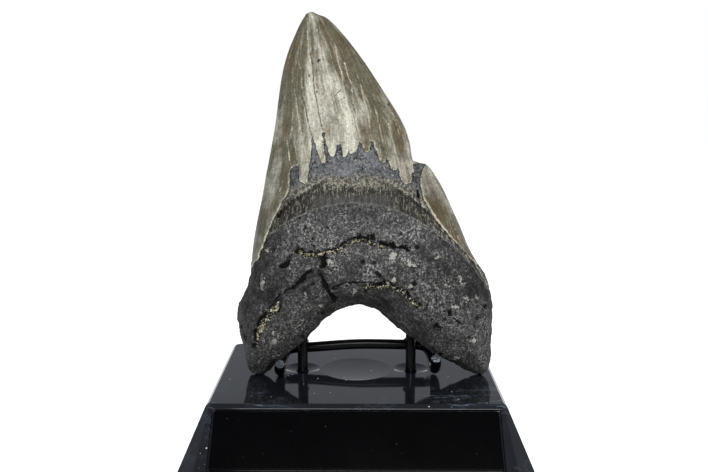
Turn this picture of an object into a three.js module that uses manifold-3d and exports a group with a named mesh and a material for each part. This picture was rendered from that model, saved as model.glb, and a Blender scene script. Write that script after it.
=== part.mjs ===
// A fossil megalodon tooth leaning on its wire easel, on a gloss plinth with a sloping nameplate.
// Millimetres, +Z up. Origin: centre of the plinth's underside. The tooth's front looks along -Y.
import * as THREE from 'three';
import { ConvexGeometry } from 'three/addons/geometries/ConvexGeometry.js';
import { mergeVertices } from 'three/addons/utils/BufferGeometryUtils.js';
import Module from 'manifold-3d';

const wasm = await Module();
wasm.setup();

// ---- Driving dimensions -------------------------------------------------------------------
const TOP_WIDTH = 95;              // flat top of the plinth
const TOP_DEPTH = 67.5;
const SLOPE_DROP = 18;             // height of the sloping faces under the top
const SKIRT = 4;                   // short upright foot below them
const FRONT_RUN = 18;              // how far the front face comes forward over that drop
const SIDE_RUN = 7.6;              // the same for the two sides and the back
const TOP_CORNER = 1.2;            // corner chamfers, at the top and at the foot
const FOOT_CORNER = 5.5;
const EDGE = 0.8;                  // softened edge round the top

const PLATE_WIDTH = 89.4;          // nameplate on the sloping front
const PLATE_HEIGHT = 19.2;
const PLATE_THICKNESS = 1.2;
const PLATE_EDGE = 0.35;
const POCKET_DEPTH = 1.0;
const POCKET_MARGIN = 0.7;
const PLATE_TOP = 2.3;             // along the slope, from the top edge to the plate

const DISH = { radius: 13, depth: 1.4, behind: 2.0 };
const DIMPLE = { radius: 6.2, depth: 1.1 };

const ROD = 3.6;                   // diameter of the easel's rod
const ROD_SIDES = 10;
const POST_X = 19.2;               // half the distance between the two posts
const POST_Y = 2.9;                // foot of a post behind the middle of the top
const HOOP_HEIGHT = 58;
const HOOP_CORNER = 8;
const SOCKET = 3;                  // how deep a post stands in the plinth
const GAP = 0.3;                   // clearance between parts that touch
const CLEAR_ABOVE = 2;             // how far a cutter stands out of the face that it cuts

const LEAN = THREE.MathUtils.degToRad(11);
const TOOTH_Y = -4.1;              // where the lobes stand, from the middle of the top
const TIP_HEIGHT = 126.7;           // tip above the lobes, along the tooth

const HEIGHT = SLOPE_DROP + SKIRT;
const DEPTH = TOP_DEPTH + FRONT_RUN + SIDE_RUN;
const TOP_Y = FRONT_RUN - DEPTH / 2 + TOP_DEPTH / 2;   // middle of the top
const FRONT_EDGE = TOP_Y - TOP_DEPTH / 2;

// ---- Finishes -----------------------------------------------------------------------------
const FOSSIL = new THREE.MeshStandardMaterial({ color: 0x5f5f5c, roughness: 0.55, metalness: 0 });
const GLOSS_BLACK = new THREE.MeshStandardMaterial({ color: 0x15181d, roughness: 0.15, metalness: 0 });
const PLATE_BLACK = new THREE.MeshStandardMaterial({ color: 0x08090a, roughness: 0.2, metalness: 0 });
const ROD_BLACK = new THREE.MeshStandardMaterial({ color: 0x0c0d0e, roughness: 0.22, metalness: 0 });

// ---- Booleans -----------------------------------------------------------------------------
function toSolid(geometry) {
  const plain = geometry.clone();
  plain.deleteAttribute('normal');
  plain.deleteAttribute('uv');
  const merged = mergeVertices(plain, 1e-4);
  return new wasm.Manifold(new wasm.Mesh({
    numProp: 3,
    vertProperties: new Float32Array(merged.attributes.position.array),
    triVerts: new Uint32Array(merged.index.array),
  }));
}

function toGeometry(solid) {
  const mesh = solid.getMesh();
  const geometry = new THREE.BufferGeometry();
  geometry.setAttribute('position', new THREE.BufferAttribute(new Float32Array(mesh.vertProperties), 3));
  geometry.setIndex(new THREE.BufferAttribute(new Uint32Array(mesh.triVerts), 1));
  geometry.computeVertexNormals();
  return geometry;
}

// ---- Plinth -------------------------------------------------------------------------------
// One level of the plinth: a rectangle with chamfered corners.
function levelPoints(z, left, right, front, back, corner) {
  const points = [];
  for (const [x, sx] of [[left, 1], [right, -1]]) {
    for (const [y, sy] of [[front, 1], [back, -1]]) {
      points.push(new THREE.Vector3(x + sx * corner, y, z), new THREE.Vector3(x, y + sy * corner, z));
    }
  }
  return points;
}

function plinthLevel(drop, inset = 0) {
  const grown = Math.min(drop / SLOPE_DROP, 1);
  const half = TOP_WIDTH / 2 + SIDE_RUN * grown - inset;
  const front = FRONT_EDGE - FRONT_RUN * grown + inset;
  const back = FRONT_EDGE + TOP_DEPTH + SIDE_RUN * grown - inset;
  const corner = THREE.MathUtils.lerp(TOP_CORNER, FOOT_CORNER, grown);
  return levelPoints(HEIGHT - drop, -half, half, front, back, corner);
}

// A shallow bowl cut down into the top.
function bowlCutter(radius, depth, sides, rings) {
  const sphere = (radius * radius + depth * depth) / (2 * depth);
  const sweep = Math.asin(radius / sphere);
  const profile = [];
  for (let i = 0; i <= rings; i++) {
    const angle = sweep * i / rings;
    profile.push(new THREE.Vector2(sphere * Math.sin(angle), sphere - depth - sphere * Math.cos(angle)));
  }
  profile.push(new THREE.Vector2(radius, CLEAR_ABOVE), new THREE.Vector2(0, CLEAR_ABOVE));
  return new THREE.LatheGeometry(profile, sides).rotateX(Math.PI / 2);
}

// Places a geometry on the sloping front face: x across, y up the slope, z out of the face.
const SLOPE_ANGLE = Math.atan2(SLOPE_DROP, FRONT_RUN);
function onSlope(geometry, along, outward) {
  geometry.translate(0, -along, outward);
  geometry.rotateX(SLOPE_ANGLE);
  geometry.translate(0, FRONT_EDGE, HEIGHT);
  return geometry;
}

function makePlinth() {
  const shell = new ConvexGeometry([
    ...plinthLevel(0, EDGE),
    ...plinthLevel(EDGE),
    ...plinthLevel(SLOPE_DROP),
    ...plinthLevel(HEIGHT),
  ]);
  let solid = toSolid(shell);
  const cut = (geometry) => { solid = solid.subtract(toSolid(geometry)); };
  cut(bowlCutter(DISH.radius, DISH.depth, 40, 5).translate(0, TOP_Y + DISH.behind, HEIGHT));
  for (const side of [-1, 1]) {
    cut(bowlCutter(DIMPLE.radius, DIMPLE.depth, 24, 4).translate(side * POST_X, TOP_Y + POST_Y, HEIGHT));
    const hole = new THREE.CylinderGeometry(ROD / 2 + GAP, ROD / 2 + GAP, 2 * (SOCKET + GAP), 16);
    cut(hole.rotateX(Math.PI / 2).translate(side * POST_X, TOP_Y + POST_Y, HEIGHT));
  }
  const pocket = new THREE.BoxGeometry(
    PLATE_WIDTH + 2 * POCKET_MARGIN, PLATE_HEIGHT + 2 * POCKET_MARGIN, 2 * POCKET_DEPTH);
  cut(onSlope(pocket, PLATE_TOP + PLATE_HEIGHT / 2, 0));
  return toGeometry(solid);
}

function makeNameplate() {
  const shape = new THREE.Shape();
  const halfWidth = PLATE_WIDTH / 2 - PLATE_EDGE;
  const halfHeight = PLATE_HEIGHT / 2 - PLATE_EDGE;
  shape.moveTo(-halfWidth, -halfHeight);
  shape.lineTo(halfWidth, -halfHeight);
  shape.lineTo(halfWidth, halfHeight);
  shape.lineTo(-halfWidth, halfHeight);
  shape.closePath();
  const geometry = new THREE.ExtrudeGeometry(shape, {
    depth: PLATE_THICKNESS - 2 * PLATE_EDGE,
    bevelThickness: PLATE_EDGE,
    bevelSize: PLATE_EDGE,
    bevelSegments: 1,
  });
  geometry.translate(0, 0, PLATE_EDGE - POCKET_DEPTH + GAP);
  return onSlope(geometry, PLATE_TOP + PLATE_HEIGHT / 2, 0);
}

// ---- Easel --------------------------------------------------------------------------------
function rodAlong(points, steps) {
  const path = new THREE.CatmullRomCurve3(points);
  const section = new THREE.Shape().absarc(0, 0, ROD / 2, 0, 2 * Math.PI);
  return new THREE.ExtrudeGeometry(section, { steps, extrudePath: path, curveSegments: ROD_SIDES / 2 });
}

// Side view of a post: distance behind the middle of the top, for a height above the top.
const POST_SIDE = new THREE.SplineCurve([
  new THREE.Vector2(POST_Y, -SOCKET),
  new THREE.Vector2(POST_Y + 0.2, 1),
  new THREE.Vector2(4.5, 8),
  new THREE.Vector2(6.6, 16),
  new THREE.Vector2(8.7, 25),
  new THREE.Vector2(11.5, 38),
  new THREE.Vector2(15.5, HOOP_HEIGHT),
]);

function makeHoop() {
  const half = [];
  for (const t of [0, 0.1, 0.22, 0.36, 0.5, 0.65, 0.8]) {
    const point = POST_SIDE.getPoint(t);
    half.push([POST_X, point.x, point.y]);
  }
  const top = POST_SIDE.getPoint(1);
  const slope = 0.19;
  for (const angle of [0, 22.5, 45, 67.5, 90]) {
    const a = THREE.MathUtils.degToRad(angle);
    const z = HOOP_HEIGHT - HOOP_CORNER + HOOP_CORNER * Math.sin(a);
    half.push([POST_X - HOOP_CORNER + HOOP_CORNER * Math.cos(a), top.x - slope * (HOOP_HEIGHT - z), z]);
  }
  const place = ([x, y, z], side) => new THREE.Vector3(side * x, TOP_Y + y, HEIGHT + z);
  const left = half.map((point) => place(point, -1));
  const right = half.map((point) => place(point, 1)).reverse();
  return rodAlong([...left, ...right], 64);
}

// Cross bar behind the posts, running out into a hook under each lobe of the root.
function makeHookBar() {
  const path = [
    [-26.0, -11.4, 6.0],
    [-26.3, -9.4, 3.6],
    [-26.4, -6.2, 2.3],
    [-26.4, -1.0, 2.3],
    [-26.2, 3.0, 3.8],
    [-25.0, 6.6, 5.3],
    [-22.2, 8.2, 5.8],
    [-16.0, 8.5, 6.1],
    [0.0, 8.5, 7.2],
    [16.0, 8.5, 7.1],
    [22.4, 8.2, 7.0],
    [25.2, 6.6, 6.3],
    [26.5, 3.2, 4.5],
    [26.9, -0.8, 2.7],
    [27.0, -5.2, 2.7],
    [27.1, -8.4, 4.8],
    [27.0, -10.4, 7.7],
  ];
  return rodAlong(path.map(([x, y, z]) => new THREE.Vector3(x, TOP_Y + y, HEIGHT + z)), 66);
}

// ---- Tooth --------------------------------------------------------------------------------
// The outline lies in the tooth's own plane: x across, y up from the lobes.
const curveThrough = (points) => new THREE.SplineCurve(points.map(([x, y]) => new THREE.Vector2(x, y)));

const LEFT_SIDE = curveThrough([
  [-35, 0], [-38, 2], [-41, 14], [-41.5, 22], [-37.5, 32], [-36, 46], [-32.5, 66], [-29, 86], [-26, 107],
  [-21.5, 120], [-18, 126.5],
]);

const RIGHT_SIDE = curveThrough([
  [43.5, 0], [46, 3], [47, 10], [47.5, 24], [45.5, 33], [40, 42], [34.5, 55], [29.5, 66], [24.5, 73], [20, 74],
  [18.5, 81], [16, 88], [10, 98], [0, 113], [-9.5, 124], [-14.5, 126.5],
]);

const BASE = curveThrough([
  [-35, 0], [-31, 1], [-19, 10.5], [-11, 19.5], [-2, 23.5], [7, 22.5], [14, 16.5], [28, 7], [40, 1], [43.5, 0],
]);

const COLUMNS = 40;
const ROWS = 32;

// Half thickness and its place, by height up the tooth: [height, millimetres].
const FRONT_SWELL = [[0, 10.5], [12, 14.0], [26, 18.2], [38, 19.6], [50, 18.0], [64, 15.6], [84, 11.6],
  [104, 7.6], [120, 4.2], [TIP_HEIGHT, 2.0]];
const BACK_SWELL = [[0, 5.6], [30, 5.6], [50, 4.6], [70, 3.8], [100, 2.6], [TIP_HEIGHT, 1.2]];
const MIDDLE = [[0, 0], [35, 0], [60, -1.6], [80, -2.2], [TIP_HEIGHT, -2.2]];
const ROOT_ROUND_FRONT = 14;
const ROOT_ROUND_BACK = 12;
const CROWN_START = 50;
const CROWN_FULL = 74;

function eased(table, at) {
  if (at <= table[0][0]) return table[0][1];
  for (let i = 1; i < table.length; i++) {
    const [x0, y0] = table[i - 1];
    const [x1, y1] = table[i];
    if (at <= x1) return THREE.MathUtils.lerp(y0, y1, (at - x0) / (x1 - x0));
  }
  return table[table.length - 1][1];
}

function distanceToOutline(point, outline) {
  let nearest = Infinity;
  const segment = new THREE.Line3();
  const close = new THREE.Vector3();
  for (let i = 1; i < outline.length; i++) {
    segment.set(outline[i - 1], outline[i]);
    segment.closestPointToPoint(point, true, close);
    nearest = Math.min(nearest, close.distanceTo(point));
  }
  return nearest;
}

function makeTooth() {
  const corners = [BASE.getPoint(0), BASE.getPoint(1), LEFT_SIDE.getPoint(1), RIGHT_SIDE.getPoint(1)];
  const across = Array.from({ length: COLUMNS + 1 }, (_, i) => (1 - Math.cos(Math.PI * i / COLUMNS)) / 2);
  const upward = Array.from({ length: ROWS + 1 }, (_, j) => 0.55 * j / ROWS
    + 0.45 * (1 - Math.cos(Math.PI * j / ROWS)) / 2);
  upward[ROWS] = 1;
  // A patch stretched between the two sides, the arched base and the blunt tip.
  const patch = (s, t) => {
    const l = LEFT_SIDE.getPointAt(t);
    const r = RIGHT_SIDE.getPointAt(t);
    const b = BASE.getPointAt(s);
    const tip = corners[2].clone().lerp(corners[3], s);
    const point = new THREE.Vector3();
    for (const axis of ['x', 'y']) {
      point[axis] = (1 - s) * l[axis] + s * r[axis] + (1 - t) * b[axis] + t * tip[axis]
        - (1 - s) * (1 - t) * corners[0][axis] - s * (1 - t) * corners[1][axis]
        - (1 - s) * t * corners[2][axis] - s * t * corners[3][axis];
    }
    return point;
  };
  const grid = upward.map((t) => across.map((s) => patch(s, t)));
  const flat = (v) => new THREE.Vector3(v.x, v.y, 0);
  const outline = [
    ...LEFT_SIDE.getSpacedPoints(120).map(flat).reverse(),
    ...BASE.getSpacedPoints(120).map(flat),
    ...RIGHT_SIDE.getSpacedPoints(120).map(flat),
  ];
  outline.push(outline[0]);

  const swell = (table, round, point, s) => {
    const edge = distanceToOutline(point, outline);
    const reach = 1 - Math.min(edge / round, 1);
    const rootShape = Math.sqrt(1 - reach * reach);
    const crownShape = 4 * s * (1 - s);
    const crown = THREE.MathUtils.smoothstep(point.y, CROWN_START, CROWN_FULL);
    const thinning = 1 - 0.22 * ((point.x - 3) / 45) ** 2 * (1 - crown);
    return eased(table, point.y) * thinning * THREE.MathUtils.lerp(rootShape, crownShape, crown);
  };
  const depths = { front: [], back: [] };
  for (let j = 0; j <= ROWS; j++) {
    for (const face of ['front', 'back']) depths[face].push([]);
    for (let i = 0; i <= COLUMNS; i++) {
      const rim = i === 0 || i === COLUMNS || j === 0 || j === ROWS;
      const point = grid[j][i];
      depths.front[j].push(rim ? 0 : swell(FRONT_SWELL, ROOT_ROUND_FRONT, point, across[i]));
      depths.back[j].push(rim ? 0 : swell(BACK_SWELL, ROOT_ROUND_BACK, point, across[i]));
    }
  }

  const positions = [];
  const index = { front: [], back: [] };
  const store = (point, depth) => {
    positions.push(point.x, -(eased(MIDDLE, point.y) + depth), point.y);
    return positions.length / 3 - 1;
  };
  for (let j = 0; j <= ROWS; j++) {
    index.front.push([]);
    index.back.push([]);
    for (let i = 0; i <= COLUMNS; i++) {
      const rim = i === 0 || i === COLUMNS || j === 0 || j === ROWS;
      const front = store(grid[j][i], depths.front[j][i]);
      index.front[j].push(front);
      index.back[j].push(rim ? front : store(grid[j][i], -depths.back[j][i]));
    }
  }
  const faces = [];
  for (let j = 0; j < ROWS; j++) {
    for (let i = 0; i < COLUMNS; i++) {
      const [a, b, c, d] = [index.front[j][i], index.front[j][i + 1], index.front[j + 1][i + 1], index.front[j + 1][i]];
      faces.push(a, b, c, a, c, d);
      const [e, f, g, h] = [index.back[j][i], index.back[j][i + 1], index.back[j + 1][i + 1], index.back[j + 1][i]];
      faces.push(e, g, f, e, h, g);
    }
  }
  const geometry = new THREE.BufferGeometry();
  geometry.setAttribute('position', new THREE.Float32BufferAttribute(positions, 3));
  geometry.setIndex(faces);
  geometry.rotateX(-LEAN);
  geometry.computeBoundingBox();
  geometry.translate(0, TOP_Y + TOOTH_Y, HEIGHT + GAP - geometry.boundingBox.min.z);
  return geometry;
}

// ---- Assembly -----------------------------------------------------------------------------
const group = new THREE.Group();
function add(name, geometry, material) {
  const mesh = new THREE.Mesh(geometry, material);
  mesh.name = name;
  group.add(mesh);
}

add('plinth', makePlinth(), GLOSS_BLACK);
add('nameplate', makeNameplate(), PLATE_BLACK);
add('easel_hoop', makeHoop(), ROD_BLACK);
add('easel_hook_bar', makeHookBar(), ROD_BLACK);
add('tooth', makeTooth(), FOSSIL);

export default group;
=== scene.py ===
"""The finish of a fossil megalodon tooth on its easel and nameplate plinth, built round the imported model."""

import math

import bmesh
import bpy
import numpy as np
from bpy.props import FloatProperty, FloatVectorProperty, IntProperty, PointerProperty
from bpy.types import Operator, Panel, PropertyGroup
from mathutils import Matrix, Vector


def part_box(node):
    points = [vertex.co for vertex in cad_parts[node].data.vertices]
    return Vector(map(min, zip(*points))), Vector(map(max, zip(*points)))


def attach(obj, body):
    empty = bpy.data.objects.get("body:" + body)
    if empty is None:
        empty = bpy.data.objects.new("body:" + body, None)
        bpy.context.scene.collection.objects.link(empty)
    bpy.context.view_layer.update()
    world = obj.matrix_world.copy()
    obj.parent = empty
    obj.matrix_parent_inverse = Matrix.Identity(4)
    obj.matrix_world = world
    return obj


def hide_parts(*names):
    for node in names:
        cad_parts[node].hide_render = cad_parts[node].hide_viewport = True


bl_info = {
    "name": "Fossil Tooth on a Stand",
    "version": (1, 0, 0),
    "blender": (4, 5, 0),
    "location": "View3D > Sidebar > Fossil Tooth",
    "description": "Builds a fossil megalodon tooth, its rod easel and its gloss plinth",
    "category": "Object",
}

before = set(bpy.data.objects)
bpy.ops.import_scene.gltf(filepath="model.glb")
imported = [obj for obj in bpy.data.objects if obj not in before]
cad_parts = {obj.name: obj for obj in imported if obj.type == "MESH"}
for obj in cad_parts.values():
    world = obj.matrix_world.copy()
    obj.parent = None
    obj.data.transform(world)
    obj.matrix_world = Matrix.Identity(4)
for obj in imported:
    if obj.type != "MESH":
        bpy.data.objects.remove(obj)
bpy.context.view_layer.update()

MM = 0.001
PLINTH_LOW, PLINTH_HIGH = (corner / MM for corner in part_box("plinth"))
TOOTH_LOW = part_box("tooth")[0] / MM
HEIGHT = PLINTH_HIGH.z


# ---- Sizes and colours that a user would change --------------------------------------------
def srgb(red, green, blue):
    """A colour given as 0 to 255 per channel, as the linear values that a shader takes."""
    def linear(channel):
        c = channel / 255
        return c / 12.92 if c <= 0.04045 else ((c + 0.055) / 1.055) ** 2.4
    return (linear(red), linear(green), linear(blue))


def size(name, default, about):
    return FloatProperty(name=name, description=about + ", in millimetres", default=default, min=0.0)


def watts(name, default, about):
    return FloatProperty(name=name, description=about + ", in watts", default=default, min=0.0)


def tint(name, red, green, blue, about):
    return FloatVectorProperty(name=name, description=about, subtype="COLOR", size=3, min=0.0, max=1.0,
                               default=srgb(red, green, blue))


class ToothSettings(PropertyGroup):
    lean: FloatProperty(name="Lean", description="How far the tooth leans back on its easel",
                        default=math.radians(11), subtype="ANGLE")
    stand_forward: size("Stand forward", 4.1, "How far the lobes stand in front of the middle of the top")
    columns: IntProperty(name="Columns", description="Mesh cells across the front", default=250, min=40)
    rows: IntProperty(name="Rows", description="Mesh cells up the front", default=290, min=40)
    enamel_step: size("Enamel step", 0.4, "How far the enamel stands proud of the dentine under it")
    lump_height: size("Lumps", 0.55, "Height of the root's broad lumps")
    enamel_light: tint("Enamel, light", 181, 180, 166, "Clean grey enamel")
    # This cream is also the painted highlight along the enamel's raised edge.
    cream_and_highlight: tint("Enamel, streaks", 206, 202, 180, "Cream lines down the enamel")
    # The olive is also the painted shade on the crown's sides.
    enamel_olive_and_shade: tint("Enamel, olive", 96, 95, 79, "Enamel stained olive by the sediment")
    enamel_brown: tint("Enamel, brown", 84, 68, 46, "Rust stains in the enamel")
    neck_blue: tint("Neck, blue", 103, 105, 107, "Bluish dentine just under the enamel")
    neck_tan: tint("Neck, tan", 160, 156, 140, "Tan band of the neck")
    neck_dark: tint("Neck, dark", 82, 81, 79, "Dark band above the root")
    root_light: tint("Root, light", 146, 147, 145, "Pale grains of the root")
    root_mid: tint("Root, middle", 74, 74, 73, "Body colour of the root")
    root_dark: tint("Root, dark", 22, 22, 22, "Dark grains and pores of the root")
    # This black is also the painted shade under the enamel's edge and in the pits.
    crack_and_shade_black: tint("Cracks", 8, 8, 6, "Bottom of the cracks")
    mineral: tint("Mineral", 118, 110, 84, "Gold sediment in the cracks")
    chalk: tint("Chalk", 176, 176, 168, "White mineral patches")


class PlinthSettings(PropertyGroup):
    top_width: size("Top width", 95.0, "Width of the flat top")
    top_depth: size("Top depth", 67.5, "Depth of the flat top")
    slope_drop: size("Slope drop", 18.0, "Height of the sloping faces")
    skirt: size("Skirt", 4.0, "Height of the upright foot")
    front_run: size("Front run", 18.0, "How far the front face comes forward over the drop")
    side_run: size("Side run", 7.6, "The same for the sides and the back")
    gloss: tint("Body", 25, 27, 31, "Polished black body")
    vein: tint("Veins", 78, 84, 94, "Blue grey veins in the body")
    wisp: tint("Wisps", 128, 142, 158, "Pale wisps near the front corners")
    plate: tint("Plate", 5, 5, 6, "Near black nameplate")


class EaselSettings(PropertyGroup):
    rod: size("Rod", 3.6, "Diameter of the easel's rod")
    post_x: size("Post offset", 19.2, "Half the distance between the two posts")
    hoop_height: size("Hoop height", 58.0, "Top of the back rest above the plinth")
    black: tint("Rod", 7, 7, 8, "Gloss black enamel of the rods")
    cut_dark: tint("Sawn end, dark", 54, 57, 61, "Bare metal of the hooks' sawn ends")
    cut_light: tint("Sawn end, light", 150, 156, 162, "Scratches on the sawn ends")


class StudioSettings(PropertyGroup):
    key: watts("Key light", 3.0, "Power of the main lamp")
    fill: watts("Fill light", 0.3, "Power of the weaker lamp")
    back: watts("Back light", 1.2, "Power of the lamp behind")
    sky: FloatProperty(name="Sky", description="Brightness of the room above", default=0.32, min=0.0)
    lens: FloatProperty(name="Lens", description="Focal length of the camera, in millimetres", default=45.76)
    floor: tint("Floor", 246, 246, 246, "Pale floor")


def settings(name):
    return getattr(bpy.context.scene, name)


# ---- Shader maths ---------------------------------------------------------------------------
def node_for(operation):
    """A method that adds one Math node: this value first, then whatever else it is given."""
    def method(self, *others):
        return self.recipe.calculated(operation, self, *others)
    return method


class Value:
    """A socket that adds Math nodes as it is used in an expression."""

    def __init__(self, recipe, socket):
        self.recipe, self.socket = recipe, socket

    __add__ = __radd__ = node_for("ADD")
    __sub__ = node_for("SUBTRACT")
    __mul__ = __rmul__ = node_for("MULTIPLY")
    __pow__ = node_for("POWER")
    top, low, size = node_for("MAXIMUM"), node_for("MINIMUM"), node_for("ABSOLUTE")

    def __rsub__(self, other):
        return self.recipe.calculated("SUBTRACT", other, self)

    def rise(self, low, high):
        """0 below low, 1 above high, smooth between."""
        return self.recipe.add("ShaderNodeMapRange", {"interpolation_type": "SMOOTHSTEP"}, "Result",
                               Value=self, From_Min=low, From_Max=high)

    def fall(self, low, high):
        return 1 - self.rise(low, high)

    def held(self):
        """Kept between 0 and 1."""
        return self.top(0.0).low(1.0)


class Recipe:
    """A material under construction: every node it holds is made here."""

    def __init__(self, name):
        self.material = bpy.data.materials.new(name)
        self.material.use_nodes = True
        self.tree = self.material.node_tree
        self.shader = self.tree.nodes["Principled BSDF"]

    def feed(self, slot, value):
        if isinstance(value, Value):
            value = value.socket
        if isinstance(value, bpy.types.NodeSocket):
            self.tree.links.new(value, slot)
        elif slot.type == "RGBA":
            slot.default_value = (*value[:3], 1.0)
        else:
            slot.default_value = value

    def calculated(self, operation, *values):
        """One Math node on these values, in this order."""
        node = self.tree.nodes.new("ShaderNodeMath")
        node.operation = operation
        for slot, value in zip(node.inputs, values):
            self.feed(slot, value)
        return Value(self, node.outputs[0])

    def add(self, kind, options, output, **inputs):
        """A node of any kind: its settings first, then the values or links of its sockets."""
        node = self.tree.nodes.new(kind)
        for name, setting in options.items():
            setattr(node, name, setting)
        for name, value in inputs.items():
            self.feed(node.inputs[name.replace("_", " ")], value)
        return Value(self, node.outputs[output])

    def attribute(self, name):
        return self.add("ShaderNodeAttribute", {"attribute_type": "GEOMETRY", "attribute_name": name}, "Fac")

    def place(self):
        """Object coordinates in millimetres."""
        where = self.add("ShaderNodeTexCoord", {}, "Object")
        return self.stretched(where, (1 / MM,) * 3)

    def stretched(self, vector, scale, offset=(0.0, 0.0, 0.0)):
        return self.add("ShaderNodeMapping", {"vector_type": "POINT"}, "Vector",
                        Vector=vector, Scale=scale, Location=offset)

    def parts(self, vector):
        node = self.tree.nodes.new("ShaderNodeSeparateXYZ")
        self.feed(node.inputs[0], vector)
        return [Value(self, socket) for socket in node.outputs]

    def joined(self, x, y, z):
        return self.add("ShaderNodeCombineXYZ", {}, "Vector", X=x, Y=y, Z=z)

    def noise(self, vector, grain, detail=3.0, rough=0.55, warp=0.0):
        """Cloudy values about 0.5, with features of about that many millimetres."""
        return self.add("ShaderNodeTexNoise", {}, "Fac", Vector=vector, Scale=1.0 / grain,
                        Detail=detail, Roughness=rough, Distortion=warp)

    def cells(self, vector, grain):
        """Distance to the nearest of scattered points that are about that many millimetres apart."""
        return self.add("ShaderNodeTexVoronoi", {"feature": "F1"}, "Distance",
                        Vector=vector, Scale=1.0 / grain)

    def blend(self, factor, first, second, kind="MIX"):
        node = self.tree.nodes.new("ShaderNodeMix")
        node.data_type, node.blend_type = "RGBA", kind
        for slot, value in zip((node.inputs[0], node.inputs[6], node.inputs[7]), (factor, first, second)):
            self.feed(slot, value)
        return Value(self, node.outputs[2])

    def lit(self, colour, amount):
        """A colour made lighter or darker by a value about 1."""
        grey = self.joined(amount, amount, amount)
        return self.blend(1.0, colour, grey, "MULTIPLY")

    def finish(self, colour, roughness, height=None, reach=0.2, strength=1.0, **constants):
        self.feed(self.shader.inputs["Base Color"], colour)
        self.feed(self.shader.inputs["Roughness"], roughness)
        for name, value in constants.items():
            self.feed(self.shader.inputs[name.replace("_", " ")], value)
        if height is not None:
            bump = self.add("ShaderNodeBump", {}, "Normal", Height=height, Distance=reach * MM,
                            Strength=strength)
            self.feed(self.shader.inputs["Normal"], bump)
        return self.material


# ---- Smooth noise and curves for modelling --------------------------------------------------
class Grain:
    """Smooth noise between -1 and 1 on a seeded lattice, the same every run."""
    CELLS = 64

    def __init__(self, seed):
        table = np.random.default_rng(seed).uniform(-1, 1, self.CELLS ** 3)
        self.table = table.reshape((self.CELLS,) * 3)

    def at(self, points, size):
        p = points / size
        low = np.floor(p).astype(int)
        f = p - low
        f = f * f * (3 - 2 * f)
        total = np.zeros(len(points))
        for corner in np.ndindex(2, 2, 2):
            index = (low + corner) % self.CELLS
            weight = np.prod(np.where(corner, f, 1 - f), axis=1)
            total += weight * self.table[index[:, 0], index[:, 1], index[:, 2]]
        return total

    def rough(self, points, size, layers=3, fade=0.5):
        return sum(self.at(points + 7.3 * k, size / 2 ** k) * fade ** k for k in range(layers))


def smoothstep(x, low, high):
    t = np.clip((x - low) / (high - low), 0.0, 1.0)
    return t * t * (3.0 - 2.0 * t)


def curve_through(points, samples=12):
    """A smooth line through the points, as an array with that many samples between each two."""
    p = np.array(points, float)
    p = np.vstack([2 * p[0] - p[1], p, 2 * p[-1] - p[-2]])
    x = np.linspace(0, 1, samples, endpoint=False)[:, None]
    pieces = [
        0.5 * (2 * b + (c - a) * x + (2 * a - 5 * b + 4 * c - d) * x ** 2 + (3 * b - a - 3 * c + d) * x ** 3)
        for a, b, c, d in zip(p, p[1:], p[2:], p[3:])
    ]
    return np.vstack([*pieces, p[-2:-1]])


def at_fraction(curve, fraction):
    """Points at these fractions of the curve's length."""
    steps = np.sqrt((np.diff(curve, axis=0) ** 2).sum(1))
    length = np.concatenate([[0.0], np.cumsum(steps)])
    return np.stack([np.interp(fraction * length[-1], length, axis) for axis in curve.T], axis=-1)


def eased(table, at, blur=7.0):
    """A table of (place, value) read smoothly."""
    places, values = np.array(table, float).T
    fine = np.arange(places[0] - 3 * blur, places[-1] + 3 * blur, 0.5)
    window = np.hanning(int(blur * 4) + 1)
    smooth = np.convolve(np.interp(fine, places, values), window / window.sum(), mode="same")
    return np.interp(at, fine, smooth)


def reach_to(points, line):
    """Distance from each point to a line of (u, v) or (u, v, half width), less the half width."""
    line = np.array(line, float)
    half = line[:, 2] if line.shape[1] > 2 else np.zeros(len(line))
    best = np.full(len(points), 1e6)
    for a, b, half_a, half_b in zip(line[:-1, :2], line[1:, :2], half[:-1], half[1:]):
        step = b - a
        k = np.clip(((points - a) @ step) / max(step @ step, 1e-9), 0.0, 1.0)
        gap = points - a - k[:, None] * step
        best = np.minimum(best, np.hypot(gap[:, 0], gap[:, 1]) - half_a - (half_b - half_a) * k)
    return best


def inside(points, outline):
    """True where a point lies inside the closed outline."""
    odd = np.zeros(len(points), bool)
    u, v = points.T
    for (u0, v0), (u1, v1) in zip(outline, np.roll(outline, -1, axis=0)):
        if v0 == v1:
            continue
        crosses = (v0 > v) != (v1 > v)
        odd ^= crosses & (u < u0 + (v - v0) * (u1 - u0) / (v1 - v0))
    return odd


def depth_in(points, outline):
    """Signed distance to a closed outline, positive inside."""
    outline = np.array(outline, float)
    edge = reach_to(points, np.vstack([outline, outline[:1]]))
    return np.where(inside(points, outline), edge, -edge)


# ---- Mesh helpers ---------------------------------------------------------------------------
def piece_from(mesh_tool, name, material, slot, *nodes):
    """Turns a bmesh in millimetres into a finished piece that stands for CAD nodes."""
    bmesh.ops.transform(mesh_tool, matrix=Matrix.Scale(MM, 4), verts=mesh_tool.verts)
    mesh = bpy.data.meshes.new(name)
    mesh_tool.to_mesh(mesh)
    mesh_tool.free()
    mesh.shade_smooth()
    mesh.materials.append(material)
    piece = bpy.data.objects.new(name, mesh)
    bpy.context.scene.collection.objects.link(piece)
    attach(piece, "root")
    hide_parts(*nodes)
    return piece


def rounded(bm, edges, width, segments=3):
    bmesh.ops.bevel(bm, geom=edges, offset=width, offset_type="OFFSET", segments=segments, profile=0.5,
                    affect="EDGES", material=-1, clamp_overlap=True)


def flat_shading(piece):
    """Lets the broad flat faces set the normals beside a rounded edge."""
    modifier = piece.modifiers.new("Even faces", "WEIGHTED_NORMAL")
    modifier.mode = "FACE_AREA"
    modifier.weight = 100
    modifier.keep_sharp = True


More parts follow.
